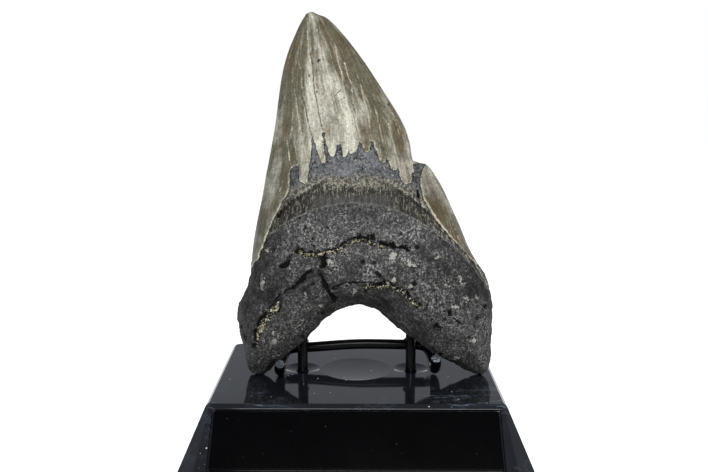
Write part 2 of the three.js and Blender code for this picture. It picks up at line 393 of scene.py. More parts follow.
# ---- Tooth ----------------------------------------------------------------------------------
# Its outline lies in its own plane: u across, v up from the lobes, w out of the front.
TIP_HEIGHT = 126.7
LEFT_SIDE = [(-35, 0), (-38, 2), (-41, 14), (-41.5, 22), (-37.5, 32), (-36, 46), (-32.5, 66), (-29, 86),
             (-26, 107), (-21.5, 120), (-18, 126.5)]
RIGHT_SIDE = [(43.5, 0), (46, 3), (47, 10), (47.5, 24), (45.5, 33), (40, 42), (34.5, 55), (29.5, 66),
              (24.5, 73), (20, 74), (18.5, 81), (16, 88), (10, 98), (0, 113), (-9.5, 124), (-14.5, 126.5)]
BASE = [(-35, 0), (-31, 1), (-19, 10.5), (-11, 19.5), (-2, 23.5), (7, 22.5), (14, 16.5), (28, 7), (40, 1),
        (43.5, 0)]
FRONT_SWELL = [(0, 10.5), (12, 14.0), (26, 18.2), (38, 19.6), (50, 18.0), (64, 15.6), (84, 11.6),
               (104, 7.6), (120, 4.2), (TIP_HEIGHT, 2.0)]
BACK_SWELL = [(0, 5.6), (30, 5.6), (50, 4.6), (70, 3.8), (100, 2.6), (TIP_HEIGHT, 1.2)]
MIDDLE = [(0, 0), (35, 0), (60, -1.6), (80, -2.2), (TIP_HEIGHT, -2.2)]
ROOT_ROUND = {"front": 14.0, "back": 12.0}
CROWN_START, CROWN_FULL = 50.0, 74.0
FOOT_REACH = 5.0                   # the lowest part of the lobes, which settles a little
FOOT_DROP = (0.5, 0.3)             # left lobe, right lobe
FOOT_GAP = 0.04                    # what stays between them and the plinth
NECK_LINE, NECK_FALL = 58.6, 0.0132     # where the root ends in the middle, and how it arches down

# Where the enamel ends: the line between its fingers, and each worn finger from root to tip with its
# half width. The shoulder has an edge of its own.
ENAMEL_LINE = [(-33, 40), (-30, 49), (-25, 59), (-23, 64), (-23, 70), (-22, 71.5), (-20.5, 71.5), (-15, 81),
               (-11.5, 83), (-6.5, 78.5), (1, 79.5), (5.5, 80), (8, 76), (14, 71), (19.5, 70), (19.5, 73)]
FINGERS = [
    [(-18, 79, 2.5), (-18, 67, 1.5)],
    [(-13.5, 83, 1.8), (-11.5, 73, 0.8)],
    [(-8.5, 81, 2.5), (-8.5, 75.5, 1)],
    [(-4, 80, 2), (-4, 75, 0.8)],
    [(-1, 80, 1.8), (-1.5, 76.5, 1)],
    [(3, 80, 2), (3.5, 77, 1)],
    [(8.5, 78, 2.5), (9, 73.5, 1)],
    [(12.5, 76, 3), (12.5, 71, 1)],
    [(16, 76, 3), (17, 67.5, 2)],
]
SHOULDER_EDGE = [(24.5, 74), (22, 68), (22.5, 61), (25, 56), (30, 49), (38.5, 40)]
OVER_THE_TIP = [(30, 74.5), (34, 100), (20, 140), (-40, 140), (-50, 60), (-45, 35), (-36, 37)]
BEYOND_SHOULDER = [(41, 38), (52, 40), (52, 76), (30, 78)]

# Cracks as a half width and the turns of their course, which noise then makes ragged.
CRACKS = {
    "upper": (0.75, [(-25, 37), (-22, 41), (-16, 43), (-8, 43), (-3, 46.5), (2, 48), (8, 45.5), (17, 43)]),
    "down": (0.7, [(-11, 41), (-12, 37), (-11, 33), (-9, 28), (-7, 24)]),
    "hairline": (0.08, [(-17, 50), (-14, 44)]),
    "left": (0.35, [(-15, 36), (-20, 32), (-24, 28), (-26, 23)]),
    "left outer": (0.6, [(-26, 28), (-30, 22), (-33, 18), (-35, 11)]),
    "right": (0.35, [(-8, 30), (-4, 32), (4, 32), (11, 32), (17, 28), (23, 24)]),
    "short": (0.4, [(27, 24), (31, 21), (35, 19)]),
    "short second": (0.25, [(20, 23), (24, 20.5)]),
    "lobe right": (0.35, [(25, 19), (28, 16.5)]),
    "lobe left": (0.35, [(-40, 18), (-38, 13)]),
    "neck left": (0.25, [(-22.5, 59), (-26, 54)]),
    "beside the shoulder": (0.45, [(19.5, 72), (20, 67), (21, 62), (22, 59)]),
}
# Sediment beside some of them: how far it lies from the crack, its half width, and the stretch it fills.
SEDIMENT = {
    "upper": ((0, -1.1), 0.55, (-19, 10)),
    "left outer": ((1.1, -0.6), 0.6, (-34, -25)),
    "right": ((0, -0.9), 0.2, (2, 21)),
}
# White mineral patches as (u, v, half length, half width, turn in degrees), and blood vessel holes as
# (u, v, radius, depth). Smaller ones are scattered round these.
CHALK = [(12, 41, 1, 1.5, 0), (18, 38, 1.5, 0.8, 0), (34, 34, 1.7, 0.6, -50), (-28, 12, 1.5, 0.9, 30),
         (-32, 32, 0.6, 1.6, 0), (-9, 39, 1.1, 0.9, 30)]
PITS = [(2, 39, 0.9, 0.9), (20, 44, 0.9, 0.5), (19, 32, 0.8, 0.7), (41, 20, 0.9, 0.8), (44, 24, 0.7, 0.8),
        (-17, 30, 0.6, 0.7), (-17, 50.5, 0.5, 0.7)]
RING = (-3.5, 39.5, 1.5)           # a healed hole: ring round a pale core
# Pale broken lines along the enamel, from the tip down, and dark hairline cracks.
STREAKS = [
    [(-17.5, 124), (-16.5, 110)], [(-15, 105), (-12.5, 91)], [(-14, 120), (-13, 113)],
    [(-12, 113), (-9.5, 102), (-6.5, 90)], [(-8, 115), (-4.5, 99), (-1, 83)],
    [(-4.5, 108), (-1.5, 97), (1, 81)], [(0, 104), (3.5, 90), (5, 80)], [(5.5, 94), (10, 75)],
    [(10.5, 87), (14.5, 72)], [(-20.5, 112), (-18, 94), (-15.5, 76)], [(-22, 101), (-20, 89), (-17, 73)],
    [(-22, 85), (-20.5, 74)], [(-24, 81), (-23, 72)],
]
HAIRLINES = [
    [(-16, 112), (-14.5, 98), (-11.5, 83)], [(-18, 94), (-15, 80)], [(-15.5, 112.5), (-13, 112.5)],
    [(-7, 96), (-5.5, 98)], [(-6, 94), (-4, 95)], [(3, 84), (1, 83)],
]
LANE_SPAN = 60.0                   # the crown's width, as its lengthwise pattern counts it
CROWN_FOOT = (20, 73)              # where the crown's right side meets the shoulder
CROWN_FOOT_SPREAD = 0.3            # how much wider the pattern grows per millimetre below that
OUT_OF_REACH = 50.0                # a distance that keeps the front's marks off the back


def scattered(seed, count, *ranges):
    """Rows of values drawn from the ranges, the same every run."""
    low, high = np.array(ranges, float).T
    return np.random.default_rng(seed).uniform(low, high, (count, len(low)))


ROOT_AREA, CROWN_AREA = ((-36, 41), (3, 44)), ((-28, 14), (80, 120))
ALL_CHALK = [*CHALK, *scattered(31, 24, *ROOT_AREA, (0.3, 1.1), (0.3, 0.8), (-60, 60))]
ALL_PITS = [*PITS, *scattered(37, 24, *ROOT_AREA, (0.4, 0.7), (0.2, 0.6)),
            *scattered(41, 12, *CROWN_AREA, (0.25, 0.4), (0.1, 0.2))]


def tooth_plane(s, t):
    """The outline's plane at s across and t up: a patch stretched between the sides, base and tip."""
    left, right, base = (curve_through(side) for side in (LEFT_SIDE, RIGHT_SIDE, BASE))
    s_, t_ = s[:, None], t[:, None]
    tip = left[-1] + (right[-1] - left[-1]) * s_
    edges = (1 - s_) * at_fraction(left, t) + s_ * at_fraction(right, t)
    ends = (1 - t_) * at_fraction(base, s) + t_ * tip
    corners = ((1 - s_) * (1 - t_) * base[0] + s_ * (1 - t_) * base[-1]
               + (1 - s_) * t_ * left[-1] + s_ * t_ * right[-1])
    return edges + ends - corners


def tooth_swell(side, table, uv, s, edge):
    """How far one face stands off the middle of the tooth."""
    u, v = uv.T
    crown = smoothstep(v, CROWN_START, CROWN_FULL)
    reach = 1 - np.minimum(edge / ROOT_ROUND[side], 1)
    root_shape = np.sqrt(1 - reach ** 2)
    thinning = 1 - 0.22 * ((u - 3) / 45) ** 2 * (1 - crown)
    shape = root_shape * (1 - crown) + 4 * s * (1 - s) * crown
    return eased(table, v) * thinning * shape


def neck_drop(u):
    """How far the neck's arched lines lie below their highest point."""
    return NECK_FALL * (u + 1) ** 2


def ellipse_depth(points, u, v, long_half, wide_half, turn):
    """Millimetres inside a turned ellipse, negative outside, good enough near its edge."""
    a = math.radians(turn)
    du, dv = points[:, 0] - u, points[:, 1] - v
    x = (du * math.cos(a) + dv * math.sin(a)) / long_half
    y = (-du * math.sin(a) + dv * math.cos(a)) / wide_half
    return (1 - np.hypot(x, y)) * min(long_half, wide_half)


def tooth_mesh(look):
    """Front and back sheets that meet round the rim, with where each point lies kept as layers."""
    bm = bmesh.new()
    layers = {name: bm.verts.layers.float.new(name) for name in ("u", "v", "lane", "edge", "face")}
    bmesh.ops.create_grid(bm, x_segments=look.columns, y_segments=look.rows, size=1.0)
    bmesh.ops.create_grid(bm, x_segments=look.columns // 2, y_segments=look.rows // 2, size=1.0,
                          matrix=Matrix.Translation((0, 0, -1)))
    back_rim = [edge for edge in bm.edges if edge.is_boundary and edge.verts[0].co.z < -0.5]
    bmesh.ops.subdivide_edges(bm, edges=back_rim, cuts=1)
    grid = np.array([vert.co for vert in bm.verts])
    front = grid[:, 2] > -0.5
    x, y = np.clip((grid[:, :2] + 1) / 2, 0, 1).T
    s = 0.6 * x + 0.4 * (1 - np.cos(np.pi * x)) / 2
    t = 0.5 * y + 0.5 * (1 - np.cos(np.pi * y / 2))
    uv = tooth_plane(s, t)
    sides = [curve_through(side, 4) for side in (LEFT_SIDE, RIGHT_SIDE, BASE)]
    edge = np.min([reach_to(uv, side) for side in sides], axis=0)
    rim = (np.abs(grid[:, 0]) > 0.9999) | (np.abs(grid[:, 1]) > 0.9999)
    edge[rim] = 0.0
    forward = tooth_swell("front", FRONT_SWELL, uv, s, edge)
    backward = tooth_swell("back", BACK_SWELL, uv, s, edge)
    w = eased(MIDDLE, uv[:, 1]) + np.where(rim, 0.0, np.where(front, forward, -backward))
    lean = look.lean
    places = np.stack([
        uv[:, 0],
        uv[:, 1] * math.sin(lean) - w * math.cos(lean),
        uv[:, 1] * math.cos(lean) + w * math.sin(lean),
    ], axis=1)
    places[:, 2] += TOOTH_LOW.z - places[:, 2].min()
    places[:, 1] += top_middle() - look.stand_forward
    facing = np.where(rim, 0.5, np.where(front, 1.0, 0.0))
    for vert, place, values in zip(bm.verts, places, zip(*uv.T, s, edge, facing)):
        vert.co = place
        for layer, value in zip(layers.values(), values):
            vert[layer] = value
    bmesh.ops.reverse_faces(bm, faces=[f for f in bm.faces if min(v[layers["face"]] for v in f.verts) < 0.25])
    bmesh.ops.remove_doubles(bm, verts=[v for v in bm.verts if v.is_boundary], dist=1e-4)
    return bm


def wandered(points, seed, size, amount):
    """The points shifted by smooth noise, so that lines measured from them waver."""
    flat = np.column_stack([points, np.zeros(len(points))])
    shift = [Grain(seed + k).rough(flat, size, 3, 0.6) for k in (0, 1)]
    return points + amount * np.stack(shift, axis=1)


def tooth_features(points, front):
    """Signed distances, in millimetres, to everything that is drawn on the tooth."""
    u, v = points.T
    ragged = Grain(11)
    flat = np.stack([u, v, np.zeros_like(u)], axis=1)
    jitter = 0.18 * ragged.rough(flat, 1.3, 2)
    frayed = wandered(points, 13, 2.0, 0.3)
    fingers = -np.min([reach_to(frayed, finger) for finger in FINGERS], axis=0)
    crown = np.maximum(depth_in(frayed, [*ENAMEL_LINE, *OVER_THE_TIP]), fingers)
    shoulder = depth_in(points, [*curve_through(SHOULDER_EDGE, 4), *BEYOND_SHOULDER])
    front_enamel = np.maximum(crown, shoulder) + 0.5 * jitter
    back_line = 40 + 8 * (1 - ((u - 2) / 38) ** 2)
    enamel = np.where(front > 0.5, front_enamel, (v - back_line) * 0.8 + 3 * jitter)
    strayed = wandered(points, 21, 3.2, 0.8)
    swell = np.clip(0.9 + 1.2 * Grain(23).rough(flat, 2.4, 2), 0.2, 1.9)
    crack = np.min([reach_to(strayed, line) - half * swell for half, line in CRACKS.values()], axis=0)
    crack = crack + jitter + 0.12
    fill = np.max([
        np.minimum(half * swell - reach_to(strayed - shift, CRACKS[name][1]), np.minimum(u - start, end - u))
        for name, (shift, half, (start, end)) in SEDIMENT.items()
    ], axis=0) + 1.4 * jitter
    chalk = np.max([ellipse_depth(points, *patch) for patch in ALL_CHALK], axis=0) + 1.2 * jitter
    pit = np.max([ellipse_depth(points, a, b, r, r, 0) for a, b, r, _ in ALL_PITS], axis=0)
    wavering = wandered(points, 27, 5.0, 0.3)
    streak, hair = (np.min([reach_to(wavering, line) for line in lines], axis=0)
                    for lines in (STREAKS, HAIRLINES))
    behind = np.where(front > 0.5, 0.0, OUT_OF_REACH)
    return {"enamel": enamel, "crack": crack + behind, "fill": fill - behind, "chalk": chalk - behind,
            "pit": pit - behind, "streak": streak + behind, "hair": hair + behind}


def tooth_relief(look, points, world, edge, front, marks):
    """How far each point moves out along its normal."""
    u, v = points.T
    crown = smoothstep(marks["enamel"], -0.05, 0.3)
    lumps, grit = Grain(3), Grain(5)
    root = 1 - smoothstep(v, 58, 66) * (front > 0.5) - smoothstep(v, 44, 52) * (front <= 0.5)
    root = np.clip(root * (1 - crown), 0, 1)
    away_from_rim = smoothstep(edge, 0.0, 1.2)
    relief = look.enamel_step * (crown - 0.4) * away_from_rim
    relief += root * look.lump_height * lumps.rough(world, 13.0, 2)
    relief += root * 0.34 * lumps.rough(world, 4.2, 3, 0.6)
    relief += root * 0.15 * grit.rough(world, 1.2, 2, 0.7)
    lanes = np.stack([u * 1.0, v * 0.09, 0 * u], axis=1)
    neck = (1 - root) * (1 - crown)
    relief += neck * 0.16 * grit.rough(lanes, 0.9, 2)
    relief += crown * 0.05 * grit.rough(lanes, 1.6, 2)
    on_front = front > 0.5
    from_neck_line = np.abs(v - NECK_LINE + neck_drop(u))
    relief += 0.16 * on_front * smoothstep(1.1 - from_neck_line, 0, 0.8) * (1 - crown)
    groove = smoothstep(-marks["crack"], -0.55, 0.45)
    relief -= on_front * 1.25 * groove * away_from_rim
    relief += on_front * 0.95 * smoothstep(marks["fill"], -0.2, 0.5) * groove
    relief += on_front * 0.22 * smoothstep(marks["chalk"], -0.2, 0.3)
    relief -= on_front * 0.07 * smoothstep(-np.minimum(marks["streak"], marks["hair"]), -0.35, 0.0) * crown
    for a, b, radius, depth in ALL_PITS:
        relief -= on_front * depth * smoothstep(ellipse_depth(points, a, b, radius, radius, 0),
                                                -0.35, 0.8 * radius)
    ring_u, ring_v, ring_radius = RING
    from_ring = np.abs(np.hypot(u - ring_u, v - ring_v) - ring_radius)
    relief -= on_front * 0.5 * smoothstep(-from_ring, -0.6, 0.0)
    return relief


def make_tooth():
    look = settings("fossil_tooth")
    bm = tooth_mesh(look)
    piece = piece_from(bm, "fossil_tooth", tooth_material(look), "fossil", "tooth")
    mesh = piece.data
    count = len(mesh.vertices)

    def read(source, field, width=1):
        values = np.empty(count * width)
        source.foreach_get(field, values)
        return values.reshape(-1, width) if width > 1 else values

    u, v, edge, front = (read(mesh.attributes[name].data, "value") for name in ("u", "v", "edge", "face"))
    points = np.stack([u, v], axis=1)
    places = read(mesh.vertices, "co", 3) / MM
    left, right = (np.interp(v, *np.array(side, float).T[::-1]) for side in (LEFT_SIDE, RIGHT_SIDE))
    right = np.minimum(right, CROWN_FOOT[0] + CROWN_FOOT_SPREAD * np.maximum(CROWN_FOOT[1] - v, 0))
    mesh.attributes["lane"].data.foreach_set("value", (u - left) / (right - left))
    marks = tooth_features(points, front)
    relief = tooth_relief(look, points, places, edge, front, marks)
    normals = read(mesh.vertex_normals, "vector", 3)
    moved = places + normals * relief[:, None]
    # The lobes settle onto the polished top.
    near_foot = smoothstep(FOOT_REACH - (moved[:, 2] - TOOTH_LOW.z), 0.0, FOOT_REACH)
    moved[:, 2] -= near_foot * np.where(u < 0, *FOOT_DROP)
    moved[:, 2] = np.maximum(moved[:, 2], HEIGHT + FOOT_GAP)
    mesh.vertices.foreach_set("co", (moved * MM).ravel())
    for name, values in marks.items():
        mesh.attributes.new(name, "FLOAT", "POINT").data.foreach_set("value", values)
    mesh.update()


def tooth_material(look):
    m = Recipe("fossil_tooth_surface")
    u, v, lane, front, edge = (m.attribute(name) for name in ("u", "v", "lane", "face", "edge"))
    place = m.place()
    enamel, crack, fill, chalk, pit, streak, hair = (
        m.attribute(name) for name in ("enamel", "crack", "fill", "chalk", "pit", "streak", "hair"))
    on_front = front.rise(0.4, 0.6)
    grit = m.noise(place, 0.50, 2.0, 0.7) - 0.5
    speckle = m.noise(place, 0.95, 3.0, 0.7) - 0.5
    blotch = m.noise(place, 3.2, 4.0, 0.6) - 0.5
    clouds = m.noise(place, 12.0, 3.0) - 0.5
    arch = neck_drop(u)
    spread = (u + 1).size()

    # Enamel: pale down the middle, partly a painted highlight along the crown's ridge with painted shade
    # towards both sides, and olive and brown stains towards the sides and the tip.
    lanes = lane * LANE_SPAN
    along = m.joined(lanes, v * 0.10, front * 9.0)
    lines = m.noise(along, 0.75, 5.0, 0.66) - 0.5
    bands = m.noise(along, 5.0, 2.0) - 0.5
    wash = m.noise(m.joined(lanes, v * 0.45, front * 4.0), 6.0, 4.0, 0.62) - 0.5
    # Across the crown: a painted highlight about a third of the way over and painted shade towards both sides,
    # mixed with the enamel's own tones.
    clean_and_highlight = 0.16 + lane.rise(0.0, 0.30) * 0.30 + lane.rise(0.20, 0.36) * 0.66 - lane.rise(0.37, 0.52) * 0.38
    clean_and_highlight = clean_and_highlight - lane.rise(0.54, 0.80) * 0.46 + lane.rise(0.88, 1.0) * 0.10
    clean_and_highlight = clean_and_highlight - v.rise(82.0, 108.0) * 0.30 - lane.fall(0.10, 0.34) * v.rise(82.0, 102.0) * 0.10
    clean_and_highlight = clean_and_highlight + v.rise(121.5, 125.0) * 0.22 - v.rise(112.0, 118.0) * 0.20
    clean_and_highlight = clean_and_highlight + v.fall(72.0, 82.0) * lane.rise(0.22, 0.42) * 0.40
    clean_and_highlight = clean_and_highlight + lane.rise(0.72, 0.90) * v.fall(70.0, 86.0) * 0.28
    on_shoulder = u.rise(20.5, 22.5) * v.fall(74.0, 78.0)
    clean_and_highlight = clean_and_highlight * (1 - on_shoulder) + on_shoulder * (-0.45 + v.rise(48.0, 66.0) * 1.05)
    clean_and_highlight = clean_and_highlight * on_front + (1 - on_front) * 0.35
    patches = m.noise(m.joined(lanes, v * 0.7, front * 2.0), 4.0, 4.0, 0.65) - 0.5
    clean_and_highlight = clean_and_highlight + clouds * 1.3 + wash * 2.6 + bands * 1.6 + patches * 1.6
    skin = m.blend(clean_and_highlight.held(), look.enamel_olive_and_shade, look.enamel_light)
    rust = m.noise(m.joined(lanes, v * 0.4, front * 6.0 + 3.0), 5.0, 4.0, 0.66) - 0.5
    warm = (0.04 + v.rise(94.0, 108.0) * v.fall(116.0, 123.0) * 0.24 + lane.rise(0.55, 0.78) * 0.20
            + lane.fall(0.02, 0.2) * 0.10 + lane.rise(0.76, 0.92) * v.fall(70.0, 82.0) * 0.2
            + rust * 3.6 + blotch * 1.2)
    skin = m.blend((warm.held() * 0.9).low(0.75), skin, look.enamel_brown)
    low_strip = lane.fall(0.06, 0.26) * v.fall(60.0, 90.0)
    shade = (1 + lines * 1.7 + grit * 1.3 + speckle * 1.5 + blotch * 0.9) * (1 - low_strip * 0.26)
    skin = m.lit(skin, shade.top(0.25))
    # Long pale and dark hair lines, broken into dashes.
    drawn = m.noise(m.joined(lanes, v * 0.035, front * 5.0), 4.2, 3.0, 0.5)
    dashes = m.noise(m.joined(lanes, v, 0.0), 1.6, 2.0, 0.7)
    hair_pale = (drawn - 0.53).size().fall(0.002, 0.011) * dashes.rise(0.46, 0.56)
    hair_dark = (drawn - 0.46).size().fall(0.001, 0.009) * dashes.rise(0.44, 0.54)
    worn_line = (m.noise(m.joined(u * 0.5, v * 0.5, 7.0), 1.9, 3.0, 0.7) - 0.36) * 3.4
    pale = (streak + grit * 1.3 + speckle * 1.1).fall(0.02, 0.30) * worn_line.held()
    skin = m.blend(hair_dark * 0.5, skin, look.root_dark)
    skin = m.blend((pale * 0.85 + hair_pale * 0.45).held(), skin, look.cream_and_highlight)
    beside = (streak - 0.42 + grit * 0.8).size().fall(0.05, 0.22) * (0.8 - worn_line).held()
    skin = m.blend(beside * 0.35, skin, look.crack_and_shade_black)
    skin = m.blend((hair + grit * 0.5).fall(0.06, 0.27) * 0.85, skin, look.crack_and_shade_black)
    # A painted highlight along the raised edge of the enamel, in the cream colour of the streaks.
    rim_part = (speckle * 6 + 0.25 + v.fall(62.0, 68.0) * 0.6).held()
    painted_rim_highlight = (enamel + grit * 0.8).fall(0.12, 0.5) * on_front * rim_part
    skin = m.blend(painted_rim_highlight * 0.7, skin, look.cream_and_highlight)

    # Neck: mottled blue, then a pale grainy band, then black and tan dashes.
    stripes = m.noise(m.joined(u, v * 0.08, 0.0), 0.55, 4.0, 0.7) - 0.5
    fine_stripes = m.noise(m.joined(u, v * 0.28, 3.0), 0.62, 3.0, 0.75) - 0.5
    wander = blotch * 3.0
    over_root = v + wander * 0.4 - (NECK_LINE - arch)
    dark_top = 63.4 + spread.rise(3.0, 14.0) * 2.3 - spread.rise(20.0, 32.0) * 2.2
    over_dark = v + wander * 1.2 + stripes * 6.0 + fine_stripes * 4.0 - (dark_top - arch)
    over_tan = v + wander * 2.4 + stripes * 8.0 + speckle * 9.0 - (67.8 + spread.rise(3.0, 14.0) * 2.0 - arch)
    grain = speckle * 0.7 + grit * 0.6
    blue = m.lit(look.neck_blue, (1 + blotch * 3.2 + speckle * 3.2 + grit * 3.0 + lines * 1.8).top(0.2))
    blue = m.lit(blue, 1 - u.rise(4.0, 15.0) * 0.26 - u.fall(-22.0, -15.0) * 0.22)
    blue = m.blend((blotch + speckle * 0.6).fall(-0.20, -0.09) * 0.75, blue, look.root_dark)
    blue = m.blend((grain - blotch * 0.5).rise(0.10, 0.20) * 0.5, blue, look.cream_and_highlight)
    tan = m.blend((grain + fine_stripes * 0.35).rise(-0.05, 0.08), m.lit(look.neck_dark, 0.8), look.neck_tan)
    neck = m.blend(over_tan.rise(-1.2, 1.2), tan, blue)
    comb = fine_stripes * 0.8 + stripes * 0.5 + grit * 0.3
    dashed = m.blend(comb.rise(0.0, 0.12) * 0.9, m.lit(look.neck_dark, 0.35), m.lit(look.neck_tan, 0.75))
    plain = m.lit(look.neck_dark, (1 + stripes * 2.6 + grit * 2.0).top(0.2))
    depth_down = over_dark.fall(-3.4, -1.2) * spread.fall(9.0, 17.0)
    dark = m.blend(depth_down * 0.85, dashed, plain)
    neck = m.blend(over_dark.fall(-0.7, 0.7), neck, dark)
    ridge = v + wander * 0.3 + speckle * 1.5 - (70.4 - spread * 0.22 - arch)
    outward = spread.rise(8.0, 12.0)
    broken = (speckle * 5 + blotch * 3 + 0.45).held()
    neck = m.blend((ridge + 1.3).size().fall(0.3, 1.1) * outward * 0.6, neck, look.root_dark)
    neck = m.blend((ridge + grit).size().fall(0.1, 0.55) * outward * broken * 0.7, neck, look.chalk)
    neck = m.lit(neck, 1 + u.rise(19.0, 27.0) * 0.45 - u.fall(-25.0, -16.0) * 0.20)

    # Root: salt and pepper grain over slow changes of tone, with painted light high on the root and at the
    # bottom of the lobes, and painted shade towards its rim and on its left side.
    pepper = speckle * 0.55 + grit * 0.65
    tone = 1 + clouds * 2.0 + blotch * 2.2 + stripes * v.rise(40.0, 52.0) * 2.2
    # Painted light high on the root and at the bottom of the lobes.
    tone = tone + v.rise(43.0, 52.0) * 0.14 + v.fall(6.0, 18.0) * 0.16
    tone = tone - (v - 31.0).size().fall(3.0, 11.0) * 0.26
    # Painted shade towards the rim, partly a darker stone there, and painted shade on the left side.
    tone = tone * (0.50 + edge.rise(0.0, 15.0) * 0.44) * (0.80 + u.rise(-30.0, -8.0) * 0.20)
    rugged = v.fall(22.0, 46.0) * 0.35 + u.rise(-6.0, 24.0) * 0.25 + blotch * 3.5 + clouds * 3.0 + 0.12
    rugged = rugged.held()
    root = m.blend(pepper.rise(0.01, 0.11) * (0.52 + rugged * 0.48), look.root_mid, look.root_light)
    root = m.blend(pepper.fall(-0.11, -0.01) * (0.60 + rugged * 0.40), root, look.root_dark)
    root = m.lit(root, tone.top(0.15))
    pores = m.cells(place, 1.7).fall(0.14, 0.34) * (blotch * 7 + speckle * 3 + 0.35).held()
    holes = m.cells(m.stretched(place, (1, 1, 1), (0, 0, 9.0)), 4.2).fall(0.07, 0.16)
    holes = holes * (clouds * 7 + 0.6).held()
    root = m.blend((pores * 0.85).top(holes * 0.95), root, look.crack_and_shade_black)
    flecks = m.cells(m.stretched(place, (1, 1, 1), (5.0, 0, 0)), 1.7).fall(0.06, 0.24)
    root = m.blend(flecks * (clouds * 7 + blotch * 4 - 0.05).held() * 0.85, root, look.chalk)

    colour = m.blend(over_root.rise(-0.5, 0.5) * on_front, root, neck)
    arc_line = over_root.size().fall(0.1, 0.45) * on_front * (speckle * 4 + 0.6).held()
    colour = m.blend(arc_line * 0.5, colour, look.root_light)
    on_enamel = (enamel + grit * 0.6).rise(-0.05, 0.05)
    colour = m.blend(on_enamel, colour, skin)
    powder = (chalk + blotch * 1.5 + speckle * 3.0 + grit * 3.0).rise(-0.12, 0.36)
    colour = m.blend(powder * 0.85, colour, look.chalk)
    # Painted shade along the foot of the enamel's raised edge.
    shade_under_enamel_edge = (enamel + grit * 0.6).rise(-0.6, -0.03) * (1 - on_enamel) * on_front
    colour = m.blend(shade_under_enamel_edge * 0.6, colour, look.crack_and_shade_black)
    # The pits painted near black: painted shade in the root's holes, and partly dark stain spots on the crown.
    pit_shade_and_spots = (pit + grit + speckle * 1.6 + blotch * 1.8).rise(-0.12, 0.2)
    colour = m.blend(pit_shade_and_spots * 0.95, colour, look.crack_and_shade_black)
    jagged = crack + grit * 1.5 + speckle * 1.3
    halo = (fill + 0.42 + grit * 1.5 + speckle * 1.5).rise(0.0, 0.2) * 0.9
    colour = m.blend(jagged.fall(0.08, 0.30).top(halo), colour, look.crack_and_shade_black)
    gold = m.lit(look.mineral, (0.9 + speckle * 4.5).top(0.2))
    gold = m.blend((grit * 8 + speckle * 3 - 0.15).held(), gold, look.cream_and_highlight)
    sediment = (fill - 0.20 + grit * 3.4 + speckle * 4.4).rise(0.0, 0.16)
    colour = m.blend(sediment, colour, gold)

    rough = 0.66 - on_enamel * 0.30 + grit * 0.3
    height = (on_enamel * (lines * 0.4 + grit * 0.3 + blotch * 0.5)
              + (1 - on_enamel) * (speckle * 1.5 + grit * 1.2 - pores * 0.6)
              + (1 - on_enamel) * stripes * over_root.rise(-6.0, 0.0) * 0.9)
    return m.finish(colour, rough, height, reach=0.6, strength=1.0, Specular_IOR_Level=0.15)


# ---- Plinth ---------------------------------------------------------------------------------
TOP_CORNER, FOOT_CORNER = 1.2, 5.5
TOP_EDGE = 0.8
EDGE_ROUND = 0.2                   # what softens every sharp edge of the moulding
DISH = {"behind": 2.0, "radius": 12.3, "depth": 0.6, "socket": 0.0}
DIMPLE = {"behind": 2.9, "radius": 6.15, "depth": 1.1, "socket": 2.1}
SOCKET_DEPTH = 3.3
RIM_ROUND = 0.45
PLATE = {"width": 89.4, "height": 19.2, "thick": 1.2, "below_edge": 2.3, "sunk": 1.0, "gap": 0.3,
         "corner": 0.5, "edge": 0.35}
POCKET_MARGIN = 0.7


def front_edge():
    return PLINTH_LOW.y + settings("fossil_plinth").front_run


def top_middle():
    """Y of the middle of the plinth's flat top."""
    return front_edge() + settings("fossil_plinth").top_depth / 2


def on_slope():
    """Puts x across, y up the slope and z out of the sloping front face where they belong."""
    plinth = settings("fossil_plinth")
    tilt = math.atan2(plinth.slope_drop, plinth.front_run)
    return Matrix.Translation((0, front_edge(), HEIGHT)) @ Matrix.Rotation(tilt, 4, "X")


def plinth_ring(plinth, drop, inset=0.0):
    """The eight corners of the plinth at a distance under its top."""
    grown = min(drop / plinth.slope_drop, 1.0)
    half = plinth.top_width / 2 + plinth.side_run * grown - inset
    front = front_edge() - plinth.front_run * grown + inset
    back = front_edge() + plinth.top_depth + plinth.side_run * grown - inset
    corner = TOP_CORNER + (FOOT_CORNER - TOP_CORNER) * grown
    ring = []
    for x, y, flip in ((half, front, 0), (half, back, 1), (-half, back, 0), (-half, front, 1)):
        pair = [(x - math.copysign(corner, x), y), (x, y - math.copysign(corner, y - top_middle()))]
        ring += pair[::-1] if flip else pair
    return [Vector((x, y, HEIGHT - drop)) for x, y in ring]


def bowl_profile(radius, depth, socket):
    """From the axis outwards: a shallow bowl with a rounded rim, and a post hole where it has one."""
    sphere = (radius ** 2 + depth ** 2) / (2 * depth)
    sweep = math.asin(radius / sphere)
    bowl = [(sphere * math.sin(a), sphere - depth - sphere * math.cos(a))
            for a in (sweep * k / 14 for k in range(15))]
    points = [(0.0, -SOCKET_DEPTH), (socket, -SOCKET_DEPTH)] if socket else []
    points += [(r, z) for r, z in bowl if r > socket + 0.05 or not socket]
    if socket:
        points.insert(2, (socket, points[2][1] - 0.25))
    # The rim rolls over in an arc that meets the bowl below and the flat outside.
    points = [p for p in points if p[0] < radius - RIM_ROUND * math.sin(sweep)]
    roll = RIM_ROUND / math.tan((math.pi - sweep) / 2)
    for k in range(6):
        turn = sweep * (1 - k / 5)
        points.append((radius + roll - RIM_ROUND * math.sin(turn), -RIM_ROUND * (1 - math.cos(turn))))
    return points


